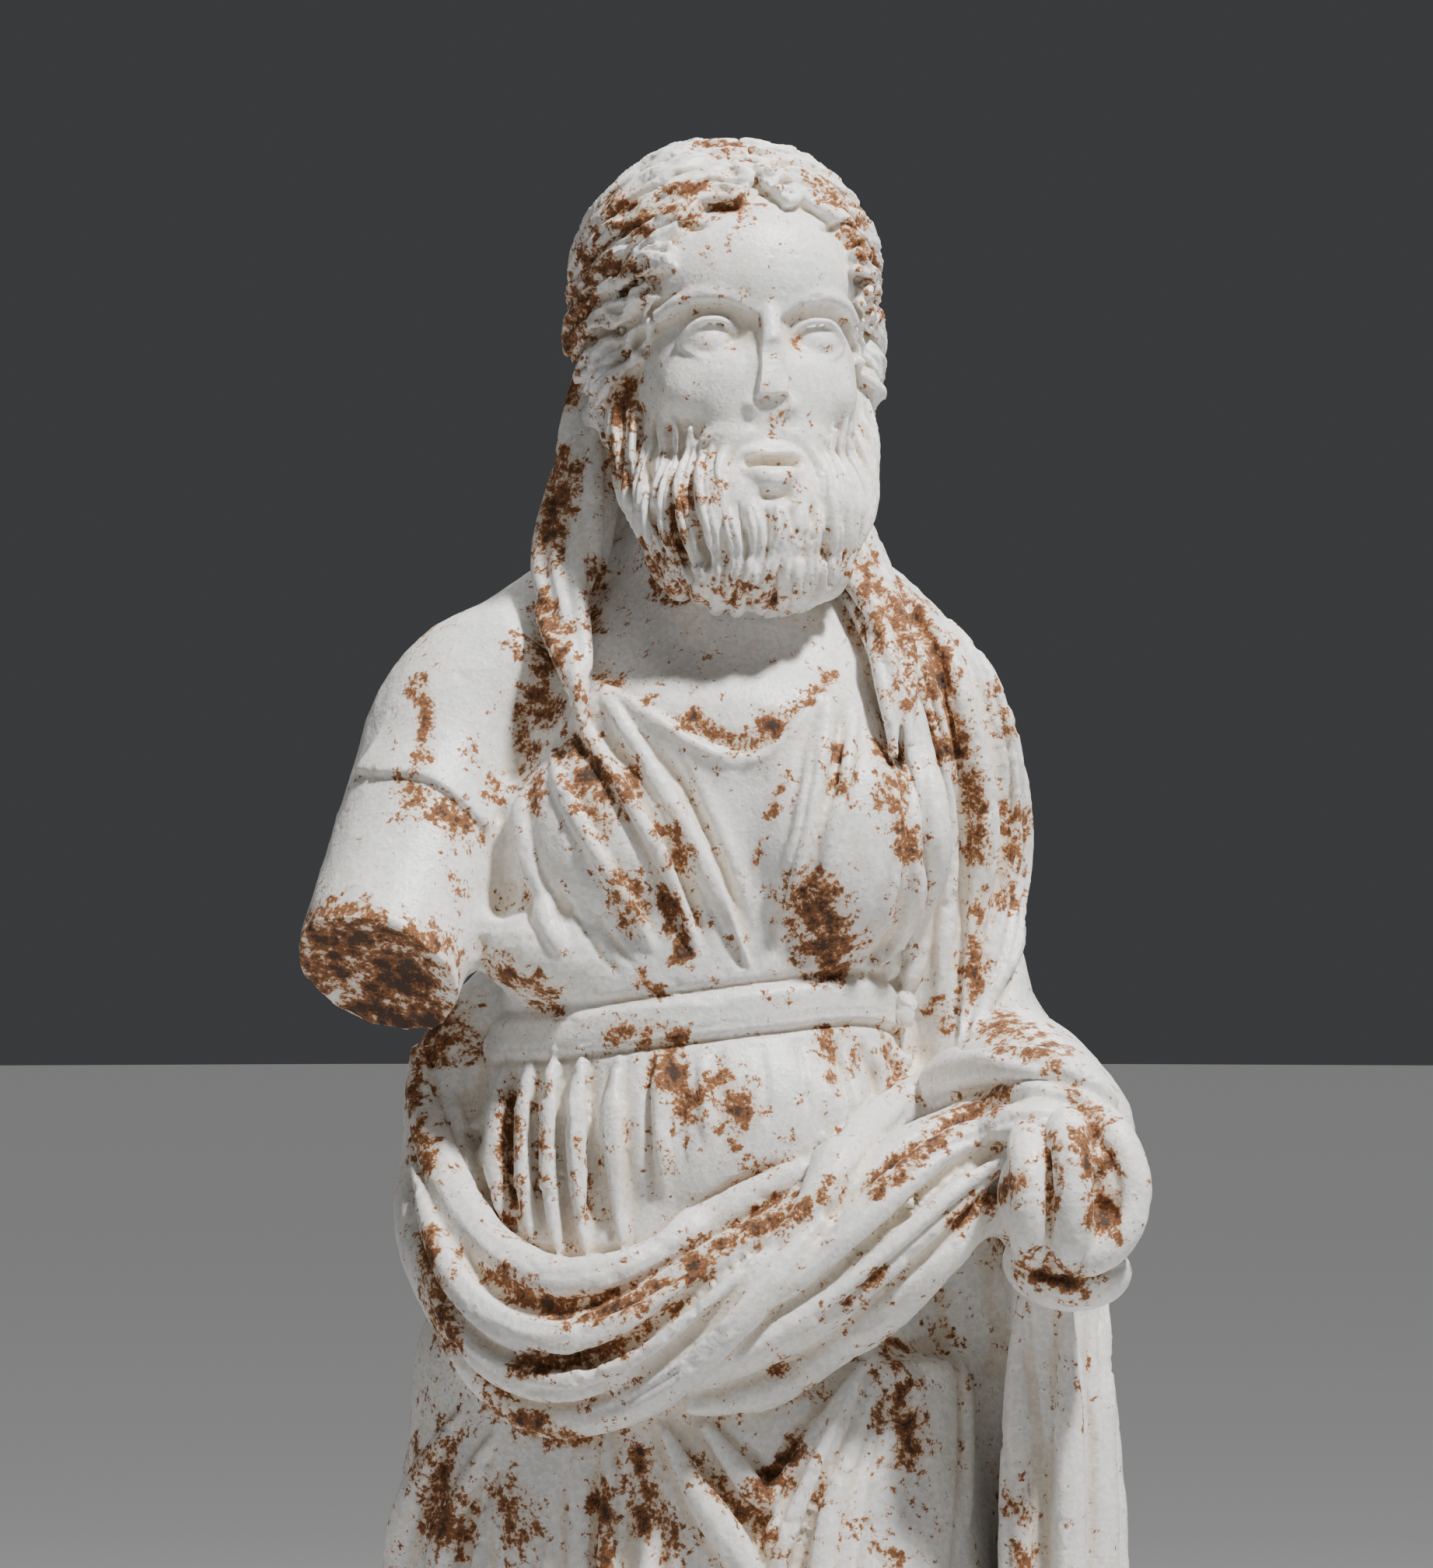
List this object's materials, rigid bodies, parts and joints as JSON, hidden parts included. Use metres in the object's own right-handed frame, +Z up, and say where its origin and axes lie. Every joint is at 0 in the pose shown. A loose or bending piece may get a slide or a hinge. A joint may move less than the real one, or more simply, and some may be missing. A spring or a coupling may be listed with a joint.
{
  "type": "statue",
  "caption": "Standing marble statue of bearded Dionysus in chiton and himation, the right arm lost, the left hand closed, on a low plinth of the same block.",
  "frame": {"origin": "centre of the plinth's underside", "axes": "+Z up, the figure faces -Y, its left hand is on the +X side"},
  "size_m": [0.33, 0.276, 0.9503],
  "materials": {
    "marble": "weathered white coarse-grained marble with brown root marks and rust-brown encrustation"
  },
  "bodies": {
    "root": {"statue": "marble"}
  },
  "joints": []
}
